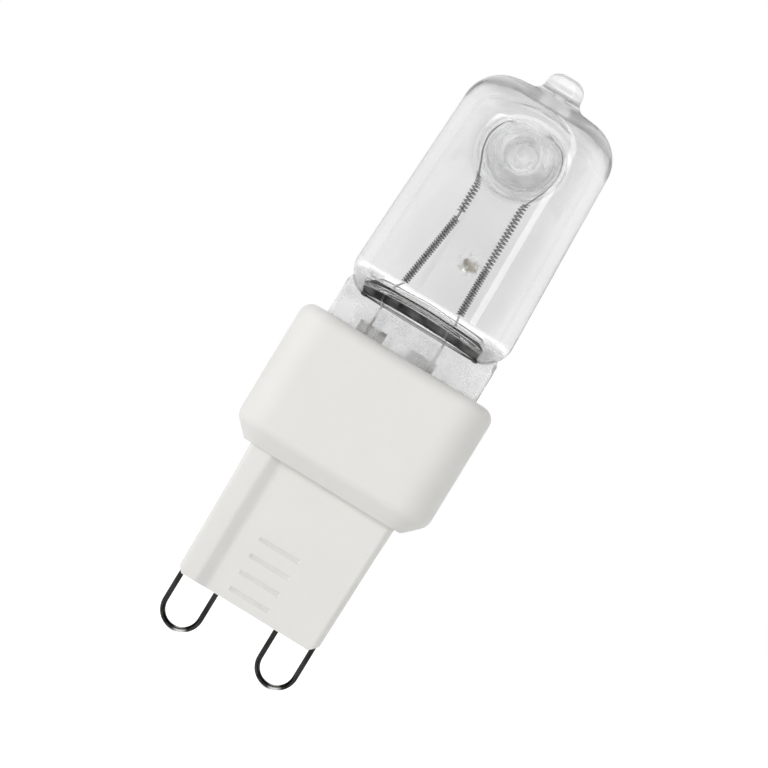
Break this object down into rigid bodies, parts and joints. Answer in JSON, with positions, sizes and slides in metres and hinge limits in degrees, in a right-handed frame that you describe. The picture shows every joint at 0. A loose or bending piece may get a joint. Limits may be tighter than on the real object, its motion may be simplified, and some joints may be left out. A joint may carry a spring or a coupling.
{
  "type": "halogen capsule bulb",
  "caption": "Clear capsule bulb with an upright coiled filament, a flat pinch seal, a white ceramic collar and plug, and looped wire contacts.",
  "frame": {"origin": "middle of the plug's end face, where the contact loops leave it", "axes": "+Z along the lamp's axis to the exhaust tip, X along the row of contact loops, -Y out of the front"},
  "size_m": [0.0178, 0.0146, 0.0549],
  "materials": {
    "quartz": "clear and polished",
    "tungsten": "fine coiled wire",
    "lead_wire": "drawn wire",
    "foil": "thin rolled foil",
    "contact_wire": "bright drawn wire",
    "ceramic": "fired, unglazed and fine-grained",
    "cement": "rough and matt"
  },
  "bodies": {
    "root": {"quartz_envelope": "quartz", "filament": "tungsten", "inner_lead_left": "lead_wire", "inner_lead_right": "lead_wire", "foil_left": "foil", "foil_right": "foil", "outer_lead_left": "lead_wire", "outer_lead_right": "lead_wire", "contact_loop_left": "contact_wire", "contact_loop_right": "contact_wire", "ceramic_base": "ceramic", "cement": "cement"}
  },
  "joints": []
}
